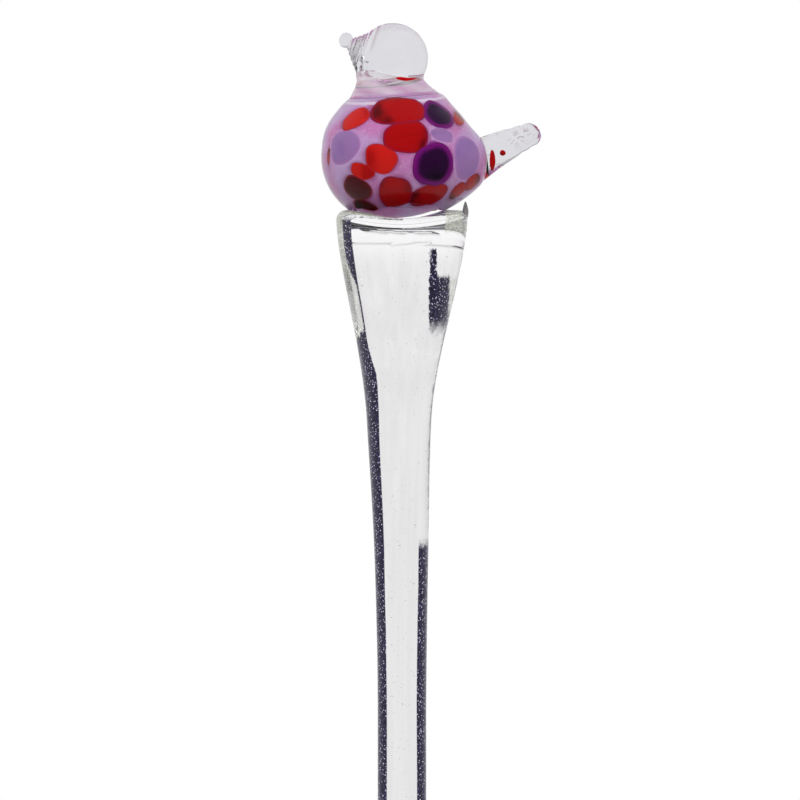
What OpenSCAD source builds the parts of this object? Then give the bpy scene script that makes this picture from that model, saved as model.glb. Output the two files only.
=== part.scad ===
// Hot-worked glass bird on a long solid glass stake.
// Origin: on the stake's axis where its straight shaft begins, +Z up, beak towards -X.

/* [Stake] */
// Radius of the straight shaft that goes into the ground or a holder
shaft_r = 8.5; // [6:0.5:10]
// Length of the straight shaft below the origin
shaft_len = 48; // [30:1:80]
// Length of the taper from the shaft to the rounded tip
taper_len = 24; // [15:1:40]
// Radius of the rounded tip
tip_r = 4; // [2:0.5:5]
// Slow widening of the stem, in mm of radius at 100 mm above the origin
stem_swell = 2.6; // [1:0.1:4]
// Extra radius gained where the stem opens into its head
flare_gain = 6.5; // [4:0.5:8]
// Height where that flare begins
flare_low_z = 105; // [90:1:115]
// Height over which the flare opens
flare_len = 70; // [60:1:80]
// Height of the middle of the stem's rounded shoulder
shoulder_z = 175.5; // [174:0.5:177]
// Rounding radius of the shoulder
shoulder_round = 3.5; // [2:0.5:5]

/* [Body] */
// Radius of the round breast
breast_r = 23; // [22:0.5:24]
// Radius of the arc from the breast to the tail
back_arc_r = 44; // [42:1:48]
// Distance of the breast's front from the stake's axis
breast_x = 28.2; // [27:0.1:29]
// Height of the body's axis at the breast
body_z = 199.2; // [198:0.1:200]
// Length of the body along its axis, to where the tail takes over
tail_cut_u = 58; // [57:0.5:59]
// Downward tilt of the body's axis towards the tail, degrees
body_tilt = 4; // [2:1:6]
// Thickness of the clear casing over the colours
casing_t = 1.5; // [1.2:0.1:2]
// Thickness of the colour chips
chip_t = 0.8; // [0.5:0.1:1]
// Thickness of the opal pink ground layer that the chips are melted into
ground_t = 1.5; // [1.2:0.1:2]

/* [Neck and head] */
// Distance of the neck's axis in front of the stake's axis
neck_x = 3.6; // [3:0.1:5]
// Height of the crease between the body and the neck
crease_z = 217.5; // [217:0.5:218]
// Neck radius at the crease, front to back
crease_r = 16; // [15:0.5:17]
// Neck radius at its waist
waist_r = 11.8; // [11:0.1:12]
// Height of the neck's waist
waist_z = 224; // [223:0.5:225]
// Height of the neck's upper edge against the head
neck_top_z = 227.2; // [226.5:0.1:228]
// Neck's width across as a share of its length front to back
neck_flat = 0.88; // [0.8:0.01:0.95]
// Head radius
head_r = 12.4; // [12:0.1:13]
// Height of the head's centre
head_z = 232.1; // [231:0.1:233]
// Radius of the beak where it leaves the head
beak_base_r = 7; // [6:0.5:8]
// Radius of the beak just behind its bead
beak_tip_r = 1.6; // [1:0.1:2]
// Radius of the bead at the end of the beak
bead_r = 2.3; // [1.8:0.1:2.6]
// Upward slope of the beak, degrees
beak_rise = 21; // [15:1:30]

/* [Tail] */
// Tail radius where it grows out of the body
tail_root_r = 7.6; // [7:0.1:9]
// Tail radius at its rounded end
tail_end_r = 4.3; // [3:0.1:5]
// Distance from the root to the middle of the rounded end
tail_len = 23.4; // [20:0.1:26]
// Upward slope of the tail, degrees
tail_rise = 27; // [20:1:32]
// Tail thickness as a share of its height, where it was pressed flat
tail_flat = 0.6; // [0.5:0.05:0.8]

/* [Joint and drip] */
// Radius of the clear foot that joins the belly to the stake
foot_r = 15; // [13:0.5:16]
// Height of the foot's centre
foot_z = 181; // [180:0.5:182]
// Radius of the glass drip under the body's rear
drip_r = 1.1; // [0.8:0.1:1.4]
// Length of that drip
drip_len = 6; // [4:0.5:8]

/* [Hidden] */
$fn = 72;
stem_step = 5;
head_pos = [-3.2, 0, head_z];
beak_start = 9;
beak_len = 9;
tail_pos = [23.4, 0, 195.3];
foot_pos = [0, 0, foot_z];
drip_pos = [22.2, 0, 176];
chip_reach_in = 5;
chip_reach_out = 4;
trail_r = 0.55;
trail_z = 223.8;
sliver_r = 0.8;
core_inset = casing_t + ground_t;
crease_drop = 7;
crease_base_r = crease_r * neck_flat + 0.72 * crease_drop;
neck_spread = crease_r * (1 - neck_flat);

// Chips of coloured glass: colour, place along the body's axis, angle round it from the top
// (positive on the bird's left side), length, width, and turn on the surface in degrees.
CHIPS = [
    ["orange", 11, 52, 10, 6, 10],
    ["red", 25.5, 47, 17, 9, 8],
    ["purple", 39.5, 40, 9.5, 9, 0],
    ["lavender", 7, 84, 11, 10, 0],
    ["red", 29.5, 73, 14, 9, 5],
    ["orange", 21, 95, 10, 8, -15],
    ["orange", 14.5, 109, 8, 4.5, -15],
    ["purple", 40, 98, 13, 12, 90],
    ["lavender", 51.5, 84, 14, 9, 90],
    ["lavender", 42, 63, 8, 4, 0],
    ["maroon", 13, 129.5, 9, 8, -20],
    ["maroon", 16.5, 150, 7, 6, 0],
    ["red", 27, 128, 11, 10, 90],
    ["red", 38.5, 134, 12, 8, 20],
    ["red", 49, 140, 7, 4, 40],
    ["red", 54, 138, 6, 5, 0],
    ["red", 2.2, 100, 5, 1.6, 90],
    ["red", 46.5, 23, 7, 4, 90],
    ["red", 10, -60, 11, 7, 0],
    ["purple", 24, -48, 12, 9, 10],
    ["orange", 37, -52, 10, 7, -10],
    ["lavender", 47, -60, 9, 7, 0],
    ["maroon", 8, -98, 10, 9, 0],
    ["red", 20, -84, 13, 9, 20],
    ["lavender", 33, -84, 10, 9, 0],
    ["red", 45, -96, 12, 9, 0],
    ["orange", 17, -118, 11, 8, 0],
    ["purple", 30, -116, 12, 10, -10],
    ["red", 41, -128, 10, 7, 0],
    ["red", 10, -135, 8, 6, 0],
    ["lavender", 24, -146, 10, 7, 0],
    ["red", 37, -155, 9, 6, 0],
    ["orange", 53, -80, 7, 5, 0],
    ["maroon", 52, -125, 6, 4, 0],
    ["orange", 51, -15, 7, 4, 0],
];
function chip_name(i) = str(CHIPS[i][0], "_chip_", i + 1);
CHIP_NODES = [for (i = [0 : len(CHIPS) - 1]) chip_name(i)];

// Colours as they look on the finished glass
CLEAR = [0.86, 0.87, 0.9, 0.45];
OPAL = [0.78, 0.5, 0.74];
function chip_colour(name) =
    name == "red" ? [0.75, 0.05, 0.07] :
    name == "orange" ? [0.88, 0.2, 0.1] :
    name == "maroon" ? [0.36, 0.04, 0.07] :
    name == "purple" ? [0.22, 0.03, 0.25] :
    [0.66, 0.6, 0.82];

// ---- Profiles and forms ----

// Smooth step from 0 to 1
function ease(t) = let (k = min(1, max(0, t))) k * k * (3 - 2 * k);

// Radius of the stem at height z
function stem_r(z) = shaft_r + stem_swell * pow(z / 100, 2) + flare_gain * ease((z - flare_low_z) / flare_len);

// Radius of the body at a place along its axis
function body_r(u) = u < breast_r
    ? sqrt(pow(breast_r, 2) - pow(u - breast_r, 2))
    : breast_r - back_arc_r + sqrt(pow(back_arc_r, 2) - pow(u - breast_r, 2));

// Lean of the body's surface at that place, degrees
function body_lean(u) = asin((u - breast_r) / (u < breast_r ? breast_r : back_arc_r));

// Puts its children on the body's axis, which then runs along +X
module on_body_axis() {
    translate([-breast_x, 0, body_z]) rotate([0, body_tilt, 0]) children();
}

// Half outline of the teardrop body, drawn in by inset: a front arc and a long rear arc, cut off at the tail
module teardrop_outline(inset) {
    intersection() {
        translate([0, breast_r]) circle(breast_r - inset);
        square([breast_r, breast_r]);
    }
    intersection() {
        translate([breast_r - back_arc_r, breast_r]) circle(back_arc_r - inset);
        translate([0, breast_r]) square([breast_r, tail_cut_u - inset - breast_r]);
    }
}

// Solid body drawn in by inset, with two low cones side by side that rise to the neck's crease
module body_form(inset) {
    on_body_axis() rotate([0, 90, 0]) rotate_extrude() teardrop_outline(inset);
    for (side = [-1, 1]) translate([side * neck_spread - neck_x, 0, crease_z - crease_drop - inset])
        cylinder(h = crease_drop, r1 = crease_base_r - inset, r2 = crease_r * neck_flat - inset);
}

// Oval outline, length along X
module oval(length, width) {
    straight = max(0.02, length - width);
    square([straight, width], center = true);
    for (side = [-1, 1]) translate([side * straight / 2, 0]) circle(d = width);
}

// Straight-sided plug at a chip's place, standing through the body's skin
module chip_plug(i) {
    c = CHIPS[i];
    on_body_axis() rotate([c[2], 0, 0]) translate([c[1], 0, body_r(c[1])]) rotate([0, body_lean(c[1]), 0])
        rotate([0, 0, c[5]]) translate([0, 0, -chip_reach_in])
            linear_extrude(chip_reach_in + chip_reach_out) oval(c[3], c[4]);
}

// Round-ended tail pressed between two flats that close towards its end, before the body is cut away
module tail_form() {
    tail_reach = tail_len + tail_end_r + 1;
    root_half = tail_root_r * tail_flat;
    end_half = tail_end_r * tail_flat;
    translate(tail_pos) rotate([0, -tail_rise, 0]) intersection() {
        rotate([0, 90, 0]) rotate_extrude() {
            polygon([[0, 0], [tail_root_r, 0], [tail_end_r, tail_len], [0, tail_len]]);
            intersection() {
                translate([0, tail_len]) circle(tail_end_r);
                square([tail_end_r, tail_len + tail_end_r]);
            }
        }
        translate([0, 0, -2 * tail_root_r]) linear_extrude(4 * tail_root_r)
            polygon([[-1, -root_half], [tail_reach, -end_half], [tail_reach, end_half], [-1, root_half]]);
    }
}

// Neck collar as a solid of revolution pressed slightly flat, before body and head are cut away
module neck_form() {
    low_z = crease_z - 3;
    translate([-neck_x, 0, 0]) scale([1, neck_flat, 1]) rotate_extrude() polygon([
        [0, low_z], [crease_r - 0.6, low_z], [crease_r - 0.6, crease_z],
        for (k = [1 : 5]) let (z = crease_z + k * (waist_z - crease_z) / 5)
            [waist_r + (crease_r - 0.6 - waist_r) * pow(1 - k / 5, 1.6), z],
        [waist_r, neck_top_z], [0, neck_top_z]]);
}

// Thin ring of colour drawn up into the neck
module trail_form() {
    translate([-neck_x, 0, trail_z]) rotate_extrude() translate([waist_r * neck_flat - 1.1, 0]) circle(trail_r, $fn = 24);
}

// Places its children at the head's centre with +Z along the beak
module on_beak_axis() {
    translate(head_pos) rotate([0, beak_rise - 90, 0]) translate([0, 0, beak_start]) children();
}

// Concave cone of the beak
module beak_form() {
    on_beak_axis() rotate_extrude() polygon([
        [0, 0],
        for (k = [0 : 8]) let (t = k / 8) [beak_tip_r + (beak_base_r - beak_tip_r) * pow(1 - t, 2), t * beak_len],
        [0, beak_len]]);
}

module bead_form() {
    on_beak_axis() translate([0, 0, beak_len - 0.4]) sphere(bead_r);
}

// Slim red sliver and small fleck caught in the tail's root
module sliver_form() {
    translate([31.4, -1.4, 194]) {
        cylinder(h = 4.6, r = sliver_r);
        sphere(sliver_r);
        translate([0, 0, 4.6]) sphere(sliver_r);
    }
}

module fleck_form() {
    translate([35, -1, 199]) sphere(sliver_r);
}

// ---- Pieces ----

module stake_stem() {
    color(CLEAR) difference() {
        rotate_extrude() {
            translate([0, -shaft_len - taper_len]) intersection() {
                circle(tip_r);
                translate([0, -tip_r]) square([tip_r, tip_r + 0.01]);
            }
            polygon([
                [0, -shaft_len - taper_len], [tip_r, -shaft_len - taper_len], [shaft_r, -shaft_len],
                for (z = [0 : stem_step : shoulder_z - 1]) [stem_r(z), z],
                [stem_r(shoulder_z), shoulder_z], [0, shoulder_z]]);
            translate([stem_r(shoulder_z) - shoulder_round, shoulder_z]) circle(shoulder_round);
            translate([0, shoulder_z - shoulder_round])
                square([stem_r(shoulder_z) - shoulder_round, 2 * shoulder_round]);
        }
        body_form(0);
        translate(foot_pos) sphere(foot_r);
    }
}

module belly_foot() {
    color(CLEAR) difference() {
        translate(foot_pos) sphere(foot_r);
        body_form(0);
    }
}

module drip() {
    color(CLEAR) difference() {
        translate(drip_pos) {
            sphere(drip_r);
            cylinder(h = drip_len, r = drip_r);
        }
        body_form(0);
        translate([0, 0, shoulder_z]) cylinder(h = 2 * shoulder_round, r = stem_r(shoulder_z) - shoulder_round);
        translate([0, 0, shoulder_z]) rotate_extrude()
            translate([stem_r(shoulder_z) - shoulder_round, 0]) circle(shoulder_round);
    }
}

module body_core() {
    color(CLEAR) body_form(core_inset);
}

module ground_layer() {
    color(OPAL) difference() {
        body_form(casing_t);
        body_form(core_inset);
        for (i = [0 : len(CHIPS) - 1]) difference() {
            chip_plug(i);
            body_form(casing_t + chip_t);
        }
    }
}

module casing() {
    color(CLEAR) difference() {
        body_form(0);
        body_form(casing_t);
    }
}

module chip(i) {
    color(chip_colour(CHIPS[i][0])) difference() {
        intersection() {
            body_form(casing_t);
            chip_plug(i);
        }
        body_form(casing_t + chip_t);
    }
}

module neck_collar() {
    color(CLEAR) difference() {
        neck_form();
        body_form(0);
        translate(head_pos) sphere(head_r);
        trail_form();
    }
}

module neck_trail() {
    color(chip_colour("red")) trail_form();
}

module head() {
    color(CLEAR) translate(head_pos) sphere(head_r);
}

module beak() {
    color(CLEAR) difference() {
        beak_form();
        translate(head_pos) sphere(head_r);
        bead_form();
    }
}

module beak_bead() {
    color(CLEAR) bead_form();
}

module tail() {
    color(CLEAR) difference() {
        tail_form();
        body_form(0);
        sliver_form();
        fleck_form();
    }
}

module tail_sliver() {
    color(chip_colour("red")) sliver_form();
}

module tail_fleck() {
    color(chip_colour("red")) fleck_form();
}

stake_stem();
belly_foot();
drip();
body_core();
ground_layer();
casing();
for (i = [0 : len(CHIPS) - 1]) chip(i);
neck_collar();
neck_trail();
head();
beak();
beak_bead();
tail();
tail_sliver();
tail_fleck();
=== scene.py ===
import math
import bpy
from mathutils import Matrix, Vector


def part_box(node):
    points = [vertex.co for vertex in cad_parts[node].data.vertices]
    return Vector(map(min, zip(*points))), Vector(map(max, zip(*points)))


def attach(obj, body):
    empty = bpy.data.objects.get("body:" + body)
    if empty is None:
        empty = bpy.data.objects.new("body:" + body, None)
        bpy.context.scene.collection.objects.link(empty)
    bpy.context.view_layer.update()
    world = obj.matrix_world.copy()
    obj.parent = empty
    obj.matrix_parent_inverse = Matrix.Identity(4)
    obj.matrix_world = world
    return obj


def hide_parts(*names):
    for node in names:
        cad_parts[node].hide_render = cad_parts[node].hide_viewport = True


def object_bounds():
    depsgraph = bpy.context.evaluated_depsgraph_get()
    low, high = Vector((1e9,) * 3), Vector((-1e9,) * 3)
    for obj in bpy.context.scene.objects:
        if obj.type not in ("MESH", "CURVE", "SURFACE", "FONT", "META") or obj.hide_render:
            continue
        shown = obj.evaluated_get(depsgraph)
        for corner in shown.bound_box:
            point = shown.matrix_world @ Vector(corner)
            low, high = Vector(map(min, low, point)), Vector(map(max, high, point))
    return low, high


bl_info = {
    "name": "Glass Bird Stake",
    "version": (1, 0, 0),
    "blender": (4, 5, 0),
    "location": "3D View > Sidebar > Glass Bird",
    "description": "Builds a hot-worked glass bird on a clear glass stake, and its studio",
    "category": "Object",
}

from functools import lru_cache

import bpy
import numpy as np
from bpy.props import FloatProperty, FloatVectorProperty, IntProperty, PointerProperty
from bpy.types import Operator, Panel, PropertyGroup
from mathutils import Vector

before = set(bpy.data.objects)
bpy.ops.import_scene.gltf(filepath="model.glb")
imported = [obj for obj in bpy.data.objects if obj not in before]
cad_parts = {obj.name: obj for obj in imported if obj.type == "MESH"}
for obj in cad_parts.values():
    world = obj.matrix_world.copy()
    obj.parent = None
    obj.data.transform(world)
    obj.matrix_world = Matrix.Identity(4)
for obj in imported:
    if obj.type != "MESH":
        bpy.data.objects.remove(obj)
CAD_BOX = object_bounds()
MM = 0.001
BODY = "root"
# Points nearer than this to a neighbour, in mm, count as fused to it
FUSED_WITHIN = 0.03
FLOOR_RADIUS = 0.5
# Points round and along the body's outer skins, and how often a ray's reach is halved to meet a form
SKIN_MESH = (240, 132)
HALVINGS = 26
# Closeness of the tool's rings along the beak, in radians per mm
BEAK_RINGS = 5.2
# Camera's distance from the stake and the height that it frames, in metres
VIEW_DISTANCE, VIEW_HEIGHT = 1.6, 0.28
# Materials made by this script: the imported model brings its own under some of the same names
MADE = {}
CHIP_NODES = sorted((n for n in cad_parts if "_chip_" in n), key=lambda n: int(n.split("_")[-1]))


@lru_cache(None)
def node_box(name):
    """Lowest and highest corner of a CAD node in millimetres."""
    low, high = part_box(name)
    return np.array(low) / MM, np.array(high) / MM


def own_points(thing):
    """The points of an object's mesh in millimetres."""
    points = np.zeros(len(thing.data.vertices) * 3)
    thing.data.vertices.foreach_get("co", points)
    return points.reshape(-1, 3) / MM


def middle_and_half(name):
    """Middle and half size of a CAD node's box."""
    low, high = node_box(name)
    return (low + high) / 2, (high - low) / 2


def length(name, description, default):
    """A size in millimetres that a user can change."""
    return FloatProperty(name=name, description=description, default=default)


def proportion(name, description, default):
    """A proportion that a user can change."""
    return FloatProperty(name=name, description=description, default=default)


def inclination(name, description, degrees):
    """An angle that a user can change."""
    return FloatProperty(name=name, description=description, default=math.radians(degrees), subtype="ANGLE")


def tint(name, description, default):
    """A colour that a user can change."""
    return FloatVectorProperty(name=name, description=description, default=default, size=3, subtype="COLOR")


# ---- Sizes and colours ----


class BirdSizes(PropertyGroup):
    """Sizes of the glass bird and its stake, in millimetres."""

    breast_radius: length("Breast Radius", "Radius of the round breast", 23.0)
    back_radius: length("Back Radius", "Radius of the arc from breast to tail", 44.0)
    body_length: length("Body Length", "Length of the body along its axis", 58.0)
    body_start_z: length("Body Axis Height", "Height of the body's axis at the breast", 199.2)
    body_tilt: inclination("Body Tilt", "Downward tilt of the body's axis", 4)
    casing_depth: length("Casing Depth", "Thickness of the clear casing", 1.5)
    ground_depth: length("Ground Depth", "Thickness of the opal ground", 1.3)
    neck_x: length("Neck Offset", "Distance of the neck's waist in front of the stake's axis", 4.2)
    neck_lean: proportion("Neck Lean", "Forward lean of the neck below its waist", 0.27)
    neck_radius: length("Neck Radius", "Radius of the neck where it rises from the body", 15.9)
    neck_flat: proportion("Neck Flatness", "Width across against length", 0.88)
    neck_blend: length("Neck Blend", "Reach of the soft blend from body to neck", 3.0)
    crease_z: length("Crease Height", "Height of the crease between body and neck", 219.0)
    waist_radius: length("Waist Radius", "Radius of the neck's waist", 11.8)
    waist_z: length("Waist Height", "Height of the neck's waist", 224.6)
    beak_root: length("Beak Root", "Distance of the beak's hidden root from the head's centre", 7.0)
    beak_flat: proportion("Beak Flatness", "Width across against height", 0.82)
    tail_root_radius: length("Tail Root Radius", "Tail radius where it leaves the body", 7.6)
    tail_end_radius: length("Tail End Radius", "Tail radius at its round end", 4.3)
    tail_length: length("Tail Length", "Root to middle of the round end", 23.4)
    tail_rise: inclination("Tail Rise", "Upward slope of the tail", 27)
    tail_flat: proportion("Tail Flatness", "Thickness against height", 0.6)
    foot_radius: length("Foot Radius", "Radius of the clear foot under the belly", 15.0)
    foot_z: length("Foot Height", "Height of the foot's centre", 181.0)
    shaft_radius: length("Shaft Radius", "Radius of the stake's straight shaft", 8.5)
    shaft_length: length("Shaft Length", "Length of the straight shaft below the origin", 48.0)
    tip_radius: length("Tip Radius", "Radius of the rounded tip", 4.0)
    stem_swell: length("Stem Swell", "Radius gained at 100 mm", 2.6)
    flare_gain: length("Flare Gain", "Extra radius of the stem's head", 6.5)
    flare_low: length("Flare Start", "Height where the stem's head begins", 105.0)
    flare_length: length("Flare Length", "Height over which the head opens", 70.0)
    shoulder_z: length("Shoulder Height", "Height of the middle of the shoulder", 175.5)
    shoulder_round: length("Shoulder Rounding", "Rounding radius of the shoulder", 3.5)
    shoulder_dip: length("Shoulder Dip", "How much lower the shoulder is in front and behind", 3.6)
    seed_count: IntProperty(name="Seeds", description="Tiny bubbles in the stake", default=900, min=0)


class BirdColours(PropertyGroup):
    """Colours of the glasses."""

    clear: tint("Clear", "Tint of the clear glass", (0.77, 0.765, 0.79))
    stem: tint("Stem", "Tint of the stake's glass", (0.80, 0.79, 0.79))
    ground: tint("Ground", "Opal pink ground", (0.56, 0.20, 0.46))
    ground_pale: tint("Pale Ground", "Paler lilac in the ground", (0.54, 0.36, 0.62))
    red: tint("Red", "Red chips", (0.40, 0.002, 0.003))
    orange: tint("Orange", "Orange-red chips", (0.60, 0.012, 0.008))
    maroon: tint("Maroon", "Maroon chips", (0.07, 0.0, 0.002))
    purple: tint("Purple", "Deep purple chips", (0.022, 0.001, 0.03))
    lavender: tint("Lavender", "Lavender chips", (0.34, 0.18, 0.42))
    halo: tint("Halo", "Magenta bloom round the purple chips", (0.22, 0.006, 0.20))
    # Colour of the painted shade in the stake's side bands
    painted_side_shade: tint("Band", "Dark bands along the stake's sides", (0.008, 0.006, 0.017))


def sizes():
    return bpy.context.scene.bird_sizes


def colours():
    return bpy.context.scene.bird_colours


# ---- Forms: signed distances in millimetres, negative inside ----


def ease(t):
    """Smooth step from 0 to 1."""
    t = np.clip(t, 0, 1)
    return t * t * (3 - 2 * t)


def hump(value, middle, width, power=2):
    """Soft hump of height 1 round a middle value."""
    return np.exp(-(((value - middle) / width) ** power))


def tube(t, first, last):
    """Place along a wall between two flat caps, and share of the way out to it."""
    along = np.clip((t - first) / (last - first), 0, 1)
    return along, np.clip(np.minimum(t / first, (1 - t) / (1 - last)), 0, 1)


def blend_min(a, b, reach):
    """Union of two forms with a soft fillet."""
    h = np.maximum(reach - np.abs(a - b), 0) / reach
    return np.minimum(a, b) - h * h * reach / 4


def blend_max(a, b, reach):
    """Common part of two forms with a soft edge."""
    return -blend_min(-a, -b, reach)


def body_axis(p):
    """Place along the body's axis, height above it and distance from it."""
    s = sizes()
    c, n = math.cos(s.body_tilt), math.sin(s.body_tilt)
    low, _ = node_box("casing")
    dx, dz = p[:, 0] - low[0], p[:, 2] - s.body_start_z
    along, up = dx * c - dz * n, dx * n + dz * c
    return along, up, np.hypot(up, p[:, 1])


def crease_tilt(p):
    """Rise of the crease above its middle height: it sits lower at the front left."""
    return 0.06 * (p[:, 0] + 2.5) + 0.1 * p[:, 1]


def neck_middle_at(z):
    """Place along X of the leaning neck's middle at a height."""
    s = sizes()
    return -s.neck_x + s.neck_lean * np.maximum(s.waist_z - z, 0)


def body_form(p):
    """Teardrop body with a soft rise to the neck, flat at the crease."""
    s = sizes()
    along, _, out = body_axis(p)
    front = np.hypot(along - s.breast_radius, out) - s.breast_radius
    rear = np.hypot(along - s.breast_radius, out + s.back_radius - s.breast_radius) - s.back_radius
    drop = np.where(along < s.breast_radius, front, rear)
    drop = blend_max(drop, along - s.body_length, 2.0)
    below = s.crease_z + crease_tilt(p) - p[:, 2]
    cone = s.neck_radius + 0.75 * below + 0.39 * np.minimum(below, 1.5)
    cone = cone - 0.06 * np.maximum(below - 6.5, 0) ** 2
    cone = (np.hypot(p[:, 0] - neck_middle_at(s.crease_z - 1.5), p[:, 1] / s.neck_flat) - cone) * 0.8
    whole = blend_min(drop, np.maximum(cone, below - 13.5), s.neck_blend)
    return blend_max(whole, -below, 0.6)


def neck_radius_at(z):
    """Neck radius, front to back, at a height: waisted, opening to the head."""
    s = sizes()
    below = np.clip((s.waist_z - z) / (s.waist_z - s.crease_z), 0, 1.6)
    above = np.clip((z - s.waist_z) / 3, 0, 1)
    return s.waist_radius + (s.neck_radius - 0.1 - s.waist_radius) * below**1.35 + 0.25 * above


def neck_form(p):
    s = sizes()
    _, high = node_box("neck_collar")
    share = np.clip((p[:, 2] - s.crease_z) / (high[2] - s.crease_z), 0, 1)
    z = p[:, 2] - crease_tilt(p) * (1 - share)
    out = np.hypot(p[:, 0] - neck_middle_at(z), p[:, 1] / s.neck_flat) - neck_radius_at(z)
    return np.maximum(out, np.maximum(z - high[2], s.crease_z - 0.1 - z))


def ball(name):
    """Centre and radius of a CAD node that is a ball."""
    middle, half = middle_and_half(name)
    return middle, half[2]


def ball_form(p, name):
    centre, radius = ball(name)
    return np.linalg.norm(p - centre, axis=1) - radius


def head_form(p):
    return ball_form(p, "head")


def bead_form(p):
    return ball_form(p, "beak_bead")


def beak_frame():
    """Origin at the head's centre, and the beak's direction."""
    head, _ = ball("head")
    bead, _ = ball("beak_bead")
    away = bead - head
    return head, away / np.linalg.norm(away), np.linalg.norm(away)


def beak_radius_at(d):
    """Radius of the beak at a distance from the head's centre, with rings left by the tool."""
    _, _, reach = beak_frame()
    back = np.maximum(reach - d, 0)
    rings = 0.17 * np.sin(d * BEAK_RINGS) * ease((d - 10.8) / 1.5) * ease(back / 2)
    return 1.5 * (1 + (back / 1.4) ** 3) ** (1 / 3) + rings


def beak_sag_at(d):
    """How far the beak's middle lies below its axis: the throat runs on down to the neck."""
    _, _, reach = beak_frame()
    return 1.7 * (1 - np.exp(-np.maximum(reach - d, 0) / 3))


def beak_form(p):
    origin, away, reach = beak_frame()
    d = (p - origin) @ away
    drop = (p - origin) @ np.array([-away[2], 0, away[0]]) - beak_sag_at(d)
    out = np.hypot(drop, p[:, 1] / sizes().beak_flat)
    return np.maximum((out - beak_radius_at(d)) * 0.7, np.maximum(sizes().beak_root - d, d - reach))


def tail_frame():
    """Root of the tail and its direction, up-going; the side axis is Y."""
    s = sizes()
    _, high = node_box("tail")
    away = np.array([math.cos(s.tail_rise), 0, math.sin(s.tail_rise)])
    end = high[0] - s.tail_end_radius
    root_x = end - away[0] * s.tail_length
    root = np.array([root_x, 0, high[2] - s.tail_end_radius - 0.7 - away[2] * s.tail_length])
    return root, away, np.array([-away[2], 0, away[0]])


def tail_radius_at(t):
    """Half height of the tail at a share of its length, rounded off past 1."""
    s = sizes()
    cone = s.tail_root_radius + (s.tail_end_radius - s.tail_root_radius) * np.clip(t, -0.5, 1)
    past = np.clip((t - 1) * s.tail_length / s.tail_end_radius, 0, 1)
    return cone * np.sqrt(1 - past * past)


def tail_form(p):
    s = sizes()
    root, away, up = tail_frame()
    d, h = (p - root) @ away, (p - root) @ up
    r = tail_radius_at(d / s.tail_length)
    out = (np.hypot(h, p[:, 1] / s.tail_flat) - r) * 0.8
    return np.maximum(out, -d)


def foot_form(p):
    s = sizes()
    return np.linalg.norm(p - np.array([0, 0, s.foot_z]), axis=1) - s.foot_radius


def stem_radius_at(z):
    s = sizes()
    up = np.maximum(z, 0)
    flare = s.flare_gain * ease((up - s.flare_low) / s.flare_length)
    return s.shaft_radius + s.stem_swell * (up / 100) ** 2 + flare


def stem_lean_at(z):
    """Sideways wander of the hand-drawn stem above its straight shaft."""
    return -1.1 * hump(z, 106, 36)


def stem_form(p):
    s = sizes()
    out = np.hypot(p[:, 0] - stem_lean_at(p[:, 2]), p[:, 1]) - stem_radius_at(p[:, 2])
    return blend_max(out, p[:, 2] - s.shoulder_z - s.shoulder_round, 6.0)


def cast(origin, ways, form, level=0.0, near=0.5, far=80.0):
    """Distance along each way from origin to where the form reaches the level."""
    low, high = np.full(len(ways), near), np.full(len(ways), far)
    for _ in range(HALVINGS):
        middle = (low + high) / 2
        inside = form(origin + ways * middle[:, None]) < level
        low, high = np.where(inside, middle, low), np.where(inside, high, middle)
    return (low + high) / 2


# ---- Making and finishing pieces ----


def deselect():
    if bpy.context.object and bpy.context.object.mode != "OBJECT":
        bpy.ops.object.mode_set(mode="OBJECT")
    bpy.ops.object.select_all(action="DESELECT")


def gather(name, around, along, place):
    """A ball primitive drawn out to a form: place(t, a) gives points in mm, t from pole to pole."""
    deselect()
    bpy.ops.mesh.primitive_uv_sphere_add(segments=around, ring_count=along, radius=1)
    piece = bpy.context.object
    piece.name = name
    piece.data.name = name
    co = own_points(piece) * MM
    t = np.arccos(np.clip(co[:, 2], -1, 1)) / math.pi
    a = np.arctan2(co[:, 1], co[:, 0])
    piece.data.vertices.foreach_set("co", (place(t, a) * MM).ravel())
    piece.data.update()
    bpy.ops.object.mode_set(mode="EDIT")
    bpy.ops.mesh.select_all(action="SELECT")
    bpy.ops.mesh.normals_make_consistent(inside=False)
    bpy.ops.object.mode_set(mode="OBJECT")
    bpy.ops.object.shade_smooth()
    return piece


def mark(piece, name, values):
    """Stores a number at every point of the piece for its material."""
    attribute = piece.data.attributes.new(name, "FLOAT", "POINT")
    attribute.data.foreach_set("value", np.asarray(values, np.float32))


def mark_seams(piece, *neighbours):
    """Stores how far each point lies outside the pieces that it is fused to."""
    points = own_points(piece)
    away = np.min([form(points) for form in neighbours], axis=0)
    mark(piece, "seam", np.clip(away, -5, 5))


def thicken(piece, depth, inner_slot=0):
    """Gives a closed skin a wall of that depth, in mm, towards its inside."""
    deselect()
    piece.select_set(True)
    bpy.context.view_layer.objects.active = piece
    wall = piece.modifiers.new("wall", "SOLIDIFY")
    wall.thickness = depth * MM
    wall.offset = -1
    wall.material_offset = inner_slot
    bpy.ops.object.modifier_apply(modifier=wall.name)


def finish_piece(piece, slot, nodes, *materials):
    """Gives a piece its materials and its place in the frame."""
    for material in materials:
        piece.data.materials.append(material)
    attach(piece, BODY)
    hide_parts(*nodes)
    return piece


def finish_clear(piece, node):
    """Finishes a piece of plain clear glass."""
    return finish_piece(piece, "clear_glass", [node], shared("clear_glass", clear_glass))


def finish_chip(piece, kind, node):
    """Finishes a bit of coloured glass."""
    return finish_piece(piece, kind + "_glass", [node], shared(kind + "_glass", lambda: chip_glass(kind)))


# ---- Materials ----


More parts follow.
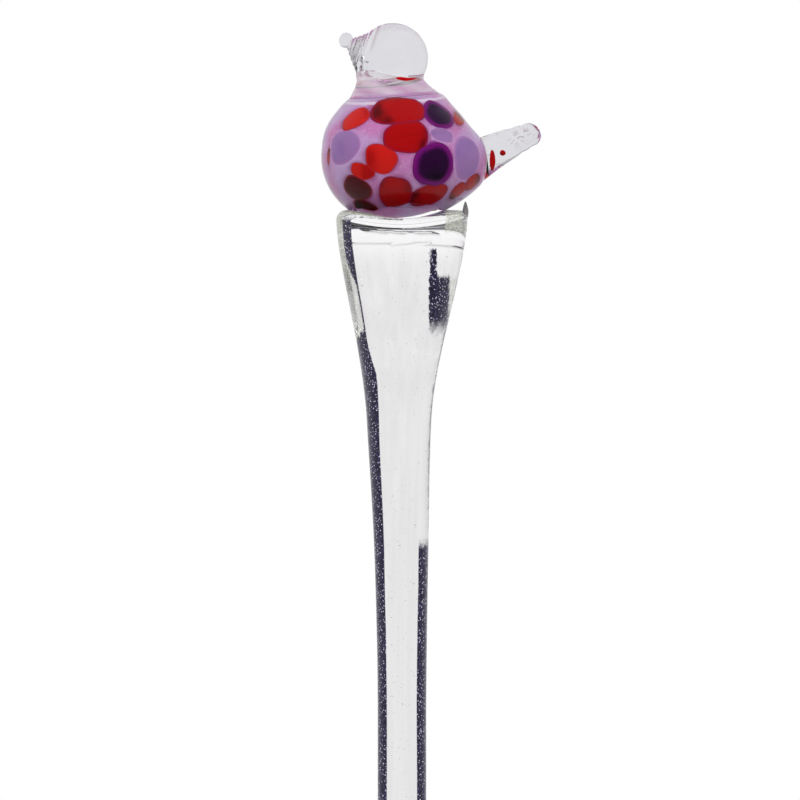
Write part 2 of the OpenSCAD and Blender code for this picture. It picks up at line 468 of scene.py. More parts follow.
class Wire:
    """A shader value that can be used in Python sums."""

    def __init__(self, recipe, socket):
        self.recipe, self.socket = recipe, socket

    def _math(self, operation, *values):
        return self.recipe.node("ShaderNodeMath", {"operation": operation}, dict(enumerate(values)))

    def __add__(self, other):
        return self._math("ADD", self, other)

    def __radd__(self, other):
        return self._math("ADD", other, self)

    def __sub__(self, other):
        return self._math("SUBTRACT", self, other)

    def __rsub__(self, other):
        return self._math("SUBTRACT", other, self)

    def __mul__(self, other):
        return self._math("MULTIPLY", self, other)

    def __rmul__(self, other):
        return self._math("MULTIPLY", other, self)

    def __lt__(self, other):
        return self._math("LESS_THAN", self, other)


class Recipe:
    """A material's or world's node tree, built from Python."""

    def __init__(self, owner):
        owner.use_nodes = True
        self.tree = owner.node_tree
        self.tree.nodes.clear()

    def node(self, kind, settings=None, inputs=None, out=0):
        """Adds one node: settings first, then its sockets' values or links."""
        made = self.tree.nodes.new(kind)
        for key, value in (settings or {}).items():
            if key == "stops":
                ramp = made.color_ramp
                while len(ramp.elements) < len(value):
                    ramp.elements.new(0.5)
                for element, (place, colour) in zip(ramp.elements, value):
                    element.position, element.color = place, colour
            else:
                setattr(made, key, value)
        for key, value in (inputs or {}).items():
            if isinstance(value, Wire):
                self.tree.links.new(value.socket, made.inputs[key])
            else:
                made.inputs[key].default_value = value
        return Wire(self, made.outputs[out]) if made.outputs else None

    def place(self):
        return self.node("ShaderNodeTexCoord", out="Object")

    def axes(self, where):
        """X, Y and Z of a place or direction."""
        split = self.node("ShaderNodeSeparateXYZ", inputs={0: where})
        return [Wire(self, split.socket.node.outputs[k]) for k in range(3)]

    def stretched(self, scale):
        """The piece's own place scaled along each axis."""
        return self.node("ShaderNodeMapping", inputs={"Vector": self.place(), "Scale": scale})

    def noise(self, where, scale, detail=2.0, rough=0.5):
        inputs = {"Vector": where, "Scale": scale, "Detail": detail, "Roughness": rough}
        return self.node("ShaderNodeTexNoise", inputs=inputs)

    def step(self, value, low, high, out_low=0.0, out_high=1.0):
        """Smooth step between two values."""
        inputs = {0: value, 1: low, 2: high, 3: out_low, 4: out_high}
        return self.node("ShaderNodeMapRange", {"interpolation_type": "SMOOTHSTEP"}, inputs)

    def window(self, value, rise, fall):
        """One between a soft rise and a soft fall, nought outside them."""
        return self.step(value, *rise) * self.step(value, *fall, 1.0, 0.0)

    def mix(self, factor, first, second):
        """Blend of two colours: the node's colour sockets are inputs 6 and 7 and output 2."""
        return self.node("ShaderNodeMix", {"data_type": "RGBA"}, {0: factor, 6: first, 7: second}, out=2)

    def bump(self, height, strength, distance):
        inputs = {"Strength": strength, "Distance": distance, "Height": height}
        return self.node("ShaderNodeBump", inputs=inputs)

    def solid(self, colour, rough, more=None):
        """Glass so dense that no light passes through it."""
        inputs = {"Base Color": colour, "Roughness": rough, **(more or {})}
        return self.node("ShaderNodeBsdfPrincipled", inputs=inputs)

    def attribute(self, name, out="Fac"):
        return self.node("ShaderNodeAttribute", {"attribute_name": name}, out=out)

    def facing(self):
        return self.node("ShaderNodeLayerWeight", inputs={"Blend": 0.5}, out="Facing")

    def clear(self):
        return self.node("ShaderNodeBsdfTransparent", inputs={"Color": (1, 1, 1, 1)})

    def shaders(self, factor, first, second):
        return self.node("ShaderNodeMixShader", inputs={0: factor, 1: first, 2: second})

    def surface(self, shader):
        self.node("ShaderNodeOutputMaterial", inputs={"Surface": shader})


def rgba(colour):
    return (*colour, 1.0)


def new_material(name):
    """An empty material and the recipe for its nodes."""
    material = bpy.data.materials.new(name)
    return material, Recipe(material)


def glass_shader(recipe, colour, normal):
    """Clear glass whose reflections are kept low, so that a veil of light doesn't hide the colours inside."""
    inputs = {"Base Color": colour, "Roughness": 0.02, "IOR": 1.5, "Transmission Weight": 1.0}
    inputs |= {"Specular Tint": (0.22, 0.22, 0.22, 1), "Normal": normal}
    return recipe.node("ShaderNodeBsdfPrincipled", inputs=inputs)


def letting_lamps_through(recipe, shader):
    """Lets lamp light pass, so that what is inside the glass is lit."""
    lamp = recipe.node("ShaderNodeLightPath", out="Is Shadow Ray")
    return recipe.shaders(lamp, shader, recipe.clear())


def fused(recipe, shader):
    """Opens the surface where a piece is fused to its neighbour."""
    seam = recipe.attribute("seam") < FUSED_WITHIN
    return recipe.shaders(seam, shader, recipe.clear())


def clear_glass(name="clear_glass", veil=None):
    """Polished clear glass with soft tool marks and a rim darkened by painted shade, milky where veiled."""
    material, recipe = new_material(name)
    tone = colours().clear
    cloud = recipe.noise(recipe.stretched((160, 160, 160)), 1.0, 2.0)
    # Painted shade: the tint darkens towards the rim as the surface turns from the eye
    rim = recipe.step(recipe.facing(), 0.62, 0.97)
    base = recipe.mix(recipe.step(cloud, 0.35, 0.7), rgba(tone), rgba([c * 0.95 for c in tone]))
    base = recipe.mix(rim, base, rgba([c * 0.35 for c in tone]))
    # Streak: tool marks on the head, beak and tail, and on the collar a line of painted shade along the
    # crease
    base = recipe.mix(recipe.attribute("streak") * 0.8, base, (0.30, 0.20, 0.25, 1))
    wave = recipe.noise(recipe.place(), 260.0, 1.0)
    shader = glass_shader(recipe, base, recipe.bump(wave, 0.12, 0.0004))
    if veil:
        wisp = recipe.noise(recipe.stretched((60, 60, 260)), 1.0, 3.0)
        milk = recipe.mix(recipe.step(wisp, 0.4, 0.62), rgba(veil), rgba([c * 0.8 for c in veil]))
        shader = recipe.shaders(recipe.attribute("veil"), shader, recipe.solid(milk, 0.3))
    recipe.surface(letting_lamps_through(recipe, fused(recipe, shader)))
    return material


def fused_seam():
    """Where the casing lies on the colours there is no air, so nothing shows."""
    material, recipe = new_material("fused_seam")
    recipe.surface(recipe.clear())
    return material


def stem_glass():
    """Clear glass full of fine seeds, with painted shade as dark bands along its sides and painted glints
    sparkling in them.
    """
    material, recipe = new_material("seedy_glass")
    tone, dark = colours().stem, colours().painted_side_shade
    x, _, z = recipe.axes(recipe.place())
    facing = recipe.facing()
    streak = recipe.noise(recipe.stretched((420, 420, 9)), 1.0, 3.0, 0.55)
    base = recipe.mix(recipe.step(streak, 0.3, 0.75), rgba(tone), rgba([min(1, c * 1.12) for c in tone]))
    # Painted light: the tint turns near white towards the top of the stem, under the belly
    base = recipe.mix(recipe.step(z, 0.158, 0.170), base, (0.98, 0.98, 0.98, 1))
    wave = recipe.noise(recipe.stretched((90, 90, 14)), 1.0, 1.0)
    glass = glass_shader(recipe, base, recipe.bump(wave, 0.1, 0.001))

    # Masks in mm from here on, all with ragged edges; facing is 0 towards the eye and 1 at the rim
    x, z = x * 1000, z * 1000
    ragged = recipe.noise(recipe.place(), 420.0, 4.0, 0.7) - 0.5
    wander = recipe.noise(recipe.stretched((60, 60, 30)), 1.0, 2.0) - 0.5
    facing = facing + wander * 0.06
    x, z = x + ragged * 3.2, z + ragged * 7
    right = recipe.step(x, -0.5, 0.5)

    # Left side: a dark stripe of painted shade that is broad below its bend and has a pale margin outside it
    # above
    left_in = 0.215 + 0.135 * recipe.step(z, 118, 134)
    left_out = 0.40 + 0.17 * recipe.step(z, 151, 163) + 0.8 * recipe.step(z, 128, 138, 1.0, 0.0)
    left_band = recipe.step(facing - left_in, 0.0, 0.02)
    left_band = left_band * recipe.step(facing - left_out, -0.02, 0.02, 1.0, 0.0)
    left_pale = recipe.step(facing - left_out, -0.02, 0.02) * (1 - right)
    # Right side: a plain dark stripe of painted shade low down, and a painted internal reflection as a dark
    # patch with a tongue just below the head
    low_band = recipe.step(facing, 0.2, 0.225) * recipe.step(z, 60, 65, 1.0, 0.0)
    tongue = recipe.step(x, 11.7, 12.2, 1.0, 0.0) * recipe.window(z, (153, 155), (164.5, 166))
    patch = recipe.step(x, 15.8, 17.0, 1.0, 0.0) * recipe.window(z, (134, 141), (154, 156.5))
    aside = recipe.step(facing, 0.10, 0.135)
    high_band = recipe.step(x, 9.3, 9.7) * (tongue + patch) * aside
    below_lip = recipe.step(z, 173.5, 177, 1.0, 0.0)
    painted_side_shade = left_band * (1 - right) * below_lip + (low_band + high_band) * right

    # The shaded bands are dusky, with painted glints as pale sparks
    seed = recipe.node("ShaderNodeTexVoronoi", {"feature": "F1"}, {"Vector": recipe.place(), "Scale": 1100.0})
    sparkle = recipe.step(seed, 0.17, 0.33, 1.0, 0.0)
    grain = recipe.noise(recipe.place(), 1400.0, 3.0, 0.7)
    side_shade_tone = recipe.mix(recipe.step(grain, 0.42, 0.72), rgba(dark), rgba([c * 7 for c in dark]))
    speckled = recipe.mix(sparkle * recipe.step(grain, 0.38, 0.55), side_shade_tone, (0.62, 0.62, 0.72, 1))
    dull = {"IOR": 1.35, "Specular IOR Level": 0.3}
    shadowed = recipe.solid(speckled, 0.2, dull)

    # Greenish grainy tone in the left margin, on the right shoulder and round the patch
    green = recipe.mix(recipe.step(grain, 0.4, 0.65), (0.30, 0.32, 0.25, 1), (0.72, 0.73, 0.66, 1))
    granular = recipe.solid(green, 0.3, dull)
    shoulder = recipe.window(x, (14.5, 15.5), (20.5, 21.5)) * recipe.step(z, 170, 172.5)
    frost = recipe.window(x, (12, 13), (17.5, 20)) * recipe.window(z, (136, 150), (154, 157))
    pale = left_pale * (0.35 + 0.4 * recipe.step(z, 155, 168)) + shoulder * 0.7 + frost * aside * 0.45
    shader = recipe.shaders(pale, glass, granular)
    shader = recipe.shaders(painted_side_shade, shader, shadowed)
    # Painted shade: the creases pressed into the stem's head are tinted grey
    crease = recipe.solid((0.30, 0.29, 0.29, 1), 0.3)
    shader = recipe.shaders(recipe.attribute("fold") * 0.4, shader, crease)
    recipe.surface(letting_lamps_through(recipe, fused(recipe, shader)))
    return material


def opal_ground():
    """Milky pink opal, lilac in places, with the bloom of each chip's colour round it, and the painted
    highlight that the bloom carries under the crease.
    """
    material, recipe = new_material("opal_pink_glass")
    palette = colours()
    cloud = recipe.noise(recipe.stretched((70, 70, 70)), 1.0, 3.0)
    base = recipe.mix(recipe.step(cloud, 0.4, 0.66), rgba(palette.ground), rgba(palette.ground_pale))
    fine = recipe.noise(recipe.place(), 900.0, 3.0)
    base = recipe.mix(recipe.step(fine, 0.45, 0.8) * 0.25, base, (0.8, 0.62, 0.8, 1))
    bloom = recipe.attribute("bloom", "Color")
    strength = recipe.attribute("bloom", "Alpha")
    base = recipe.mix(strength, base, bloom)
    recipe.surface(recipe.solid(base, 0.45, {"IOR": 1.3, "Specular IOR Level": 0.2}))
    return material


def chip_glass(name):
    """Dense coloured glass that thins to another tone towards its edge and one side."""
    material, recipe = new_material(name + "_glass")
    palette = colours()
    main = getattr(palette, name)
    deep, edge, depth_share, edge_start = {
        "red": (palette.maroon, (0.30, 0.006, 0.03), 0.9, 0.8),
        "orange": (palette.red, (0.55, 0.02, 0.02), 0.9, 0.8),
        "maroon": ((0.02, 0.001, 0.002), (0.25, 0.006, 0.012), 0.9, 0.8),
        "purple": ((0.006, 0.0005, 0.008), palette.halo, 0.9, 0.6),
        "lavender": ((0.26, 0.14, 0.40), (0.44, 0.20, 0.46), 0.6, 0.8),
    }[name]
    cloud = recipe.noise(recipe.stretched((110, 110, 110)), 1.0, 2.0)
    side = recipe.attribute("side")
    rim = recipe.attribute("rim")
    depth = recipe.step(cloud + side * 0.28, 0.52, 0.85)
    base = recipe.mix(depth * depth_share, rgba(main), rgba(deep))
    base = recipe.mix(recipe.step(rim, edge_start, 0.93) * 0.85, base, rgba(edge))
    if name != "lavender":
        base = recipe.mix(recipe.step(rim, 0.92, 0.96) * 0.7, base, (0.09, 0.008, 0.05, 1))
    recipe.surface(recipe.solid(base, 0.35, {"IOR": 1.3, "Specular IOR Level": 0.05}))
    return material


def shared(name, make):
    """A material made once and used by several pieces."""
    if name not in MADE:
        MADE[name] = make()
    return MADE[name]


# ---- Pieces ----


def body_centre():
    """A point from which the whole of the body's skin is seen."""
    s = sizes()
    low, _ = node_box("casing")
    return np.array([low[0] + s.breast_radius + 2, 0, s.body_start_z - 2])


def sphere_ways(t, a):
    """Directions for a ball's points, pole up."""
    t = t * math.pi
    return np.stack([np.sin(t) * np.cos(a), np.sin(t) * np.sin(a), np.cos(t)], axis=1)


def body_skin(depth):
    """Places points on the body's skin at a depth below its surface."""

    def place(t, a):
        ways = sphere_ways(t, a)
        return body_centre() + ways * cast(body_centre(), ways, body_form, -depth)[:, None]

    return place


class BIRD_OT_casing(Operator):
    """Clear outer gather over the colours"""

    bl_idname = "bird.casing"
    bl_label = "Clear Casing"

    def execute(self, context):
        piece = gather("casing", *SKIN_MESH, body_skin(0))
        mark_seams(piece, neck_form, tail_form, foot_form, stem_form)
        piece.data.materials.append(shared("clear_glass", clear_glass))
        piece.data.materials.append(shared("fused_seam", fused_seam))
        thicken(piece, sizes().casing_depth, inner_slot=1)
        finish_piece(piece, "clear_glass", ["casing"])
        return {"FINISHED"}


@lru_cache(None)
def chip_shape(name):
    """Middle, long axis, short axis and half sizes of a CAD chip."""
    points = own_points(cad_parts[name])
    middle = points.mean(axis=0)
    _, _, axes = np.linalg.svd(points - middle, full_matrices=False)
    spread = (points - middle) @ axes.T
    middle = middle + ((spread.max(axis=0) + spread.min(axis=0)) / 2) @ axes
    half = (spread.max(axis=0) - spread.min(axis=0)) / 2
    return middle, axes[0], axes[1], half[0], half[1]


class BIRD_OT_ground(Operator):
    """Opal pink layer that the chips are melted into"""

    bl_idname = "bird.ground"
    bl_label = "Opal Ground"

    def execute(self, context):
        s, palette = sizes(), colours()
        piece = gather("ground_layer", *SKIN_MESH, body_skin(s.casing_depth + 0.12))
        points = own_points(piece)
        nearest = np.full(len(points), 9.0)
        bloom = np.zeros((len(points), 4), np.float32)
        for name in CHIP_NODES:
            middle, long_way, short_way, half_long, half_short = chip_shape(name)
            outward = np.cross(long_way, short_way)
            p, q = (points - middle) @ long_way, (points - middle) @ short_way
            near = np.abs((points - middle) @ outward) < 7
            away = np.hypot(p / half_long, q / half_short) - BIRD_OT_chips.spread
            away = np.where(near, away * min(half_long, half_short), 9.0)
            closer = away < nearest
            nearest = np.where(closer, away, nearest)
            kind = name.split("_")[0]
            hue = {"purple": palette.halo, "lavender": palette.ground_pale, "maroon": (0.2, 0.02, 0.08)}
            bloom[closer, :3] = hue.get(kind, (0.30, 0.05, 0.16))
            bloom[closer, 3] = {"purple": 0.95, "lavender": 0.6}.get(kind, 0.7)
        bloom[:, 3] *= np.exp(-np.maximum(nearest, 0) / 0.6)
        drop = s.crease_z + crease_tilt(points) - points[:, 2]
        # Painted highlight: a bright line under the front of the crease, where the clear glass is thick
        shine = hump(drop, 2.3, 0.5) * (points[:, 1] < 0)
        lit = shine > 0.3
        bloom[lit, :3] = (0.80, 0.74, 0.80)
        bloom[:, 3] = np.where(lit, 0.8 * shine, bloom[:, 3])
        colour = piece.data.color_attributes.new("bloom", "FLOAT_COLOR", "POINT")
        colour.data.foreach_set("color", bloom.ravel())
        thicken(piece, s.ground_depth)
        finish_piece(piece, "opal_pink_glass", ["ground_layer"], opal_ground())
        return {"FINISHED"}


class BIRD_OT_core(Operator):
    """Clear gather inside the colours"""

    bl_idname = "bird.core"
    bl_label = "Body Core"

    def execute(self, context):
        s = sizes()
        piece = gather("body_core", 120, 66, body_skin(s.casing_depth + s.ground_depth + 0.2))
        mark(piece, "seam", np.ones(len(piece.data.vertices)))
        finish_clear(piece, "body_core")
        return {"FINISHED"}


class BIRD_OT_chips(Operator):
    """Chips of coloured glass, each melted flush into the ground"""

    bl_idname = "bird.chips"
    bl_label = "Colour Chips"
    spread = 1.2
    long_spread = 1.13
    squareness = 2.3

    def execute(self, context):
        for number, name in enumerate(CHIP_NODES):
            kind = name.split("_")[0]
            piece = gather(name + "_glass", 56, 28, self.pebble(name, number))
            points = own_points(piece)
            middle, long_way, _, half_long, _ = chip_shape(name)
            mark(piece, "side", ((points - middle) @ long_way) / half_long * (-1) ** number)
            mark(piece, "rim", self.rim)
            finish_chip(piece, kind, name)
        return {"FINISHED"}

    def pebble(self, name, number):
        """Places points on a soft-edged lens that follows the body's skin."""
        dice = np.random.default_rng(100 + number)
        turns = dice.uniform(0, 2 * math.pi, 3)
        middle, long_way, short_way, half_long, half_short = chip_shape(name)
        cover = sizes().casing_depth

        def place(t, a):
            reach = np.sin(t * math.pi)
            k = self.squareness
            corner = (np.abs(np.cos(a)) ** k + np.abs(np.sin(a)) ** k) ** (-1 / k)
            wobble = 1 + 0.05 * np.sin(2 * a + turns[0]) + 0.045 * np.sin(3 * a + turns[1])
            wobble += 0.02 * np.sin(5 * a + turns[2])
            out = reach * corner * wobble * self.spread
            lengthwise = half_long * (self.long_spread / self.spread if half_long > 1.5 * half_short else 1)
            flat = middle + np.outer(out * np.cos(a) * lengthwise, long_way)
            flat += np.outer(out * np.sin(a) * half_short, short_way)
            height = np.cos(t * math.pi)
            edge = 1 - np.clip(np.abs(height) / 0.3, 0, 1)
            top = cover + 0.03 + 0.011 * (number % 7) + 0.3 * edge**1.5
            depth = np.where(height > 0, top, cover + 0.36 + 0.4 * np.abs(height) ** 0.5)
            ways = flat - body_centre()
            ways /= np.linalg.norm(ways, axis=1)[:, None]
            self.rim = reach
            return body_centre() + ways * cast(body_centre(), ways, lambda p: body_form(p) + depth)[:, None]

        return place


class BIRD_OT_neck(Operator):
    """Clear waisted collar with a thread of red drawn up into it"""

    bl_idname = "bird.neck"
    bl_label = "Neck Collar"

    def execute(self, context):
        s = sizes()
        head, head_radius = ball("head")
        _, high = node_box("neck_collar")

        def place(t, a):
            wall_low, wall_high, last = s.crease_z, high[2], 0.75
            along, share = tube(t, 0.25, last)
            z = wall_low + (wall_high - wall_low) * along
            r = neck_radius_at(z) * share
            ripple = 1 + 0.006 * np.sin(3 * a + 0.5) + 0.004 * np.sin(z * 2.2)
            x, y = r * np.cos(a) * ripple + neck_middle_at(z), r * np.sin(a) * ripple * s.neck_flat
            z += crease_tilt(np.stack([x, y], axis=1)) * (wall_high - z) / (wall_high - wall_low)
            under_head = head[2] - np.sqrt(np.maximum(head_radius**2 - (x - head[0]) ** 2 - y**2, 0))
            z = np.where(t > last, np.minimum(wall_high, under_head), z)
            return np.stack([x, y, z], axis=1)

        piece = gather("neck_collar", 144, 96, place)
        mark_seams(piece, body_form, head_form, beak_form)
        points = own_points(piece)
        lift = points[:, 2] - crease_tilt(points) - s.crease_z
        ahead = 1 - ease((points[:, 0] + 15) / 12)
        # Painted shade: a dark line along the crease, strongest at the front
        mark(piece, "streak", hump(lift, 0, 0.45) * (0.25 + 0.7 * ahead))
        # Milky wisps, and painted shade as a dark line along the crease that is strongest at the front
        swirl = 0.5 + 0.5 * np.sin(points[:, 0] * 0.45 + points[:, 2] * 0.9 + 1.2)
        mark(piece, "veil", ease((lift - 0.3) / 1.2) * (0.30 + 0.35 * swirl))
        finish_piece(piece, "clear_glass", ["neck_collar"], clear_glass("collar_glass", (0.62, 0.56, 0.60)))

        low, top = node_box("neck_trail")
        ring = (top[1] - low[1]) / 2 - 0.5

        def thread(t, a):
            # The thread swells into two streaks, at the front right and at the left
            degrees = -205 + 300 * t
            turn = np.radians(degrees)
            right, left = hump(degrees, -44, 40, 4), hump(degrees, -172, 24, 4)
            thick = (0.07 + 0.8 * right + 0.75 * left) * np.clip(np.sin(t * math.pi) * 9, 0, 1)
            r = ring + 1.0 * right + 0.5 * left + thick * np.cos(a)
            z = (low[2] + top[2]) / 2 + 0.3 - 1.3 * left + 0.25 * np.sin(degrees / 7) + thick * np.sin(a)
            return np.stack([r * np.cos(turn) - s.neck_x, r * np.sin(turn), z], axis=1)

        piece = gather("neck_trail", 12, 90, thread)
        finish_chip(piece, "red", "neck_trail")
        return {"FINISHED"}


def turned(ways, axis):
    """Directions with their pole turned from +Z to axis."""
    turn = Vector((0, 0, 1)).rotation_difference(Vector(axis)).to_matrix()
    return ways @ np.array(turn).T


class BIRD_OT_head(Operator):
    """Clear head with its beak and the bead at the beak's end"""

    bl_idname = "bird.head"
    bl_label = "Head and Beak"

    def execute(self, context):
        centre, radius = ball("head")
        origin, away, reach = beak_frame()
        below = np.array([-away[2], 0, away[0]])

        def skull(t, a):
            ways = turned(sphere_ways(t, a), away)
            angle = t * math.pi * radius
            rings = 0.10 * np.sin(angle * 2.1) * hump(angle, 8, 4)
            sag = 0.06 * np.sin(3 * a) * np.sin(t * math.pi)
            return centre + ways * (radius + rings - 0.08 + sag * 0.5)[:, None]

        piece = gather("head", 160, 110, skull)
        mark_seams(piece, neck_form, beak_form)
        out = (own_points(piece) - centre) / radius
        angle = np.degrees(np.arccos(np.clip(out @ away, -1, 1)))
        arc = hump(angle + 5 * out[:, 2], 52, 3.2) * ease((out[:, 2] - 0.05) / 0.3)
        mark(piece, "streak", arc * (1 - ease((out[:, 2] - 0.75) / 0.2)) * 0.7)
        finish_clear(piece, "head")

        def beak(t, a):
            low = sizes().beak_root
            along, share = tube(t, 0.15, 0.9)
            d = low + (reach - 0.9 - low) * along
            r = beak_radius_at(d) * share
            y, down = r * np.cos(a) * sizes().beak_flat, r * np.sin(a) + beak_sag_at(d)
            return origin + np.outer(d, away) + np.outer(down, below) + np.outer(y, [0, 1, 0])

        piece = gather("beak", 96, 150, beak)
        mark_seams(piece, head_form, bead_form, neck_form)
        out = own_points(piece) - origin
        d, down = out @ away, out @ below
        wave = np.sin(d * BEAK_RINGS + 0.25 * down * down / 3 + 0.5 * np.sin(d * 2.1))
        ring = np.clip((wave - 0.35) * 2.5, 0, 1)
        low_edge = ease((down - 0.55 * beak_radius_at(d)) / 1.6)
        along = ease((d - 11.2) / 1.2) * ease((16.2 - d) / 1.5)
        mark(piece, "streak", ring * along * (0.35 + 0.65 * low_edge))
        finish_clear(piece, "beak")

        bead, bead_radius = ball("beak_bead")

        def drop(t, a):
            ways = turned(sphere_ways(t, a), away)
            swell = 1.12 - 0.06 * np.cos(2 * math.pi * t)
            return bead + ways * (bead_radius * swell)[:, None]

        piece = gather("beak_bead", 48, 32, drop)
        mark_seams(piece, beak_form)
        finish_clear(piece, "beak_bead")
        return {"FINISHED"}


class BIRD_OT_tail(Operator):
    """Clear paddle tail with pinch marks, and the red bits caught in its root"""

    bl_idname = "bird.tail"
    bl_label = "Tail"

    def execute(self, context):
        s = sizes()
        root, away, up = tail_frame()

        def paddle(t, a):
            cap, start, end = 0.107, -0.02, s.tail_end_radius / s.tail_length
            run = start + (1 - start + end) * np.clip(t * 1.12 - 0.12, 0, 1)
            run = np.where(t < cap, start, run)
            r = tail_radius_at(np.minimum(run, 0.9999 + end)) * np.clip(t / cap, 0, 1)
            pinch = 1 - 0.055 * hump(run, 0.80, 0.05) - 0.05 * hump(run, 0.97, 0.05)
            crimp = 1 + 0.05 * np.sin(7 * a + 2) * ease((run - 0.35) / 0.5)
            h = r * np.sin(a) * pinch
            y = r * np.cos(a) * s.tail_flat * crimp
            bow = 0.5 * np.sin(run * math.pi)
            d = run * s.tail_length
            return root + np.outer(d, away) + np.outer(h + bow, up) + np.outer(y, [0, 1, 0])

        piece = gather("tail", 120, 96, paddle)
        mark_seams(piece, body_form)
        points = own_points(piece)
        d, h = (points - root) @ away, (points - root) @ up
        lines = np.sin(h * 4.2 + 1.6 * np.sin(d * 0.9) + 0.8 * np.sin(d * 2.7))
        lines = lines - 0.5 * (np.sin(d * 1.9 + h) < -0.3)
        tip = hump(d, 21, 4.5) * hump(h, 0.8, 2.2)
        base = hump(d, 7.5, 2.2) * hump(h, -2, 3.5) * 0.9
        mark(piece, "streak", np.clip((lines - 0.55) * 3, 0, 1) * (tip + base))
        finish_clear(piece, "tail")

        for name in ("tail_sliver", "tail_fleck"):
            middle, half = middle_and_half(name)

            def bit(t, a):
                ways = sphere_ways(t, a)
                wobble = 1 + 0.12 * np.sin(3 * a + 4 * t)
                return middle + ways * half * wobble[:, None] * np.array([1.25, 1.25, 1.05])

            piece = gather(name, 24, 16, bit)
            finish_chip(piece, "red", name)
        return {"FINISHED"}


def under_body(x, y):
    """Height of the body's underside over a point, or a large number beside the body."""
    points = np.stack([x, y, np.full(len(x), 199.0)], axis=1)
    down = np.tile([0.0, 0.0, -1.0], (len(x), 1))
    inside = body_form(points) < 0
    reach = cast(points, down, body_form, 0, 0.0, 40.0)
    return np.where(inside, points[:, 2] - reach, 1e3)


class BIRD_OT_foot(Operator):
    """Clear bit of glass that joins the belly to the stake"""

    bl_idname = "bird.foot"
    bl_label = "Belly Foot"

    def execute(self, context):
        s = sizes()
        centre = np.array([0, 0, s.foot_z])

        def place(t, a):
            ways = sphere_ways(t, a)
            points = centre + ways * s.foot_radius * 0.999
            points[:, 2] = np.minimum(points[:, 2], under_body(points[:, 0], points[:, 1]))
            return points

        piece = gather("belly_foot", 120, 90, place)
        mark_seams(piece, body_form, stem_form)
        finish_clear(piece, "belly_foot")

        middle, half = middle_and_half("drip")

        def run_down(t, a):
            ways = sphere_ways(t, a)
            thin = np.where(ways[:, 2] > 0, 1 - 0.45 * ways[:, 2], 1)
            return middle + ways * half * np.stack([thin, thin, np.ones(len(t))], axis=1)

        piece = gather("drip", 24, 24, run_down)
        mark_seams(piece, body_form, stem_form)
        mark(piece, "veil", np.full(len(piece.data.vertices), 0.65))
        finish_piece(piece, "clear_glass", ["drip"], clear_glass("drip_glass", (0.16, 0.14, 0.15)))
        return {"FINISHED"}


class BIRD_OT_stem(Operator):
    """Solid clear stake with its flared head and rounded tip"""

    bl_idname = "bird.stem"
    bl_label = "Stake Stem"

    def execute(self, context):
        s = sizes()
        low, _ = node_box("stake_stem")

        def place(t, a):
            cap, lip, wall, taper = 0.12, 0.18, 0.93, 0.975
            top = s.shoulder_z - s.shoulder_dip * np.sin(a) ** 2
            arc = np.clip((t - cap) / (lip - cap), 0, 1) * math.pi / 2
            z = top + s.shoulder_round * np.cos(arc)
            lip_r = stem_radius_at(top) - s.shoulder_round
            r = lip_r * np.clip(t / cap, 0, 1) + s.shoulder_round * np.sin(arc)
            down = np.clip((t - lip) / (wall - lip), 0, 1) ** 1.5
            on_wall = t > lip
            z = np.where(on_wall, top + (-s.shaft_length - top) * down, z)
            r = np.where(on_wall, stem_radius_at(z), r)
            tip_z = low[2] + s.tip_radius
            end = np.clip((t - wall) / (taper - wall), 0, 1)
            on_taper = t > wall
            z = np.where(on_taper, -s.shaft_length + (tip_z + s.shaft_length) * end, z)
            tapered = s.shaft_radius + (s.tip_radius - s.shaft_radius) * ease(end * 0.5) * 2
            r = np.where(on_taper, tapered, r)
            turn = np.clip((t - taper) / (1 - taper), 0, 1) * math.pi / 2
            z = np.where(t > taper, tip_z - s.tip_radius * np.sin(turn), z)
            r = np.where(t > taper, s.tip_radius * np.cos(turn), r)
            alive = ease(z / 40) * ease((s.shoulder_z + 3 - z) / 12)
            wave = 1 + alive * (0.008 * np.sin(2 * a + z / 24) + 0.006 * np.sin(3 * a - z / 17 + 1))
            r = r - 0.22 * self.folds(a, z) * on_wall
            x, y = r * np.cos(a) * wave + stem_lean_at(z) * ease(z / 40), r * np.sin(a) * wave
            seat = np.minimum(under_body(x, y), self.under_foot(x, y))
            z = np.where(t < lip, np.minimum(z, seat), z)
            return np.stack([x, y, z], axis=1)

        piece = gather("stake_stem", 160, 360, place)
        mark_seams(piece, body_form, foot_form)
        points = own_points(piece)
        # The creases' strength is also stored for the material, which paints shade into them
        mark(piece, "fold", self.folds(np.arctan2(points[:, 1], points[:, 0]), points[:, 2]))
        finish_piece(piece, "seedy_glass", ["stake_stem"], stem_glass())
        return {"FINISHED"}

    def folds(self, a, z):
        """Strength of the creases pressed into the stem's head while it was soft."""
        strength = np.zeros(len(z))
        for middle, height, slope, bend, reach in (
            (-1.82, 170.2, -1.2, 1.6, 0.42),
            (-1.18, 170.0, -0.8, -4.5, 0.26),
            (-1.42, 166.6, 2.6, -1.5, 0.34),
            (1.50, 169.4, 1.5, -1.2, 0.50),
            (2.40, 167.8, -2.0, 1.8, 0.40),
        ):
            off = (a - middle + math.pi) % (2 * math.pi) - math.pi
            line = height + slope * off + bend * off**2 + 0.12 * np.sin(off * 23)
            near = hump(z, line, 0.34) * np.clip(1 - (off / reach) ** 2, 0, 1) ** 0.5
            strength = np.maximum(strength, near)
        return strength

    def under_foot(self, x, y):
        s = sizes()
        inside = s.foot_radius**2 - x**2 - y**2
        return np.where(inside > 0, s.foot_z - np.sqrt(np.maximum(inside, 0)), 1e3)


def seed_glass():
    """Inner wall of a tiny bubble."""
    material, recipe = new_material("seed")
    shader = recipe.solid((0.75, 0.75, 0.8, 1), 0.1, {"Alpha": 0.55})
    recipe.surface(letting_lamps_through(recipe, shader))
    return material


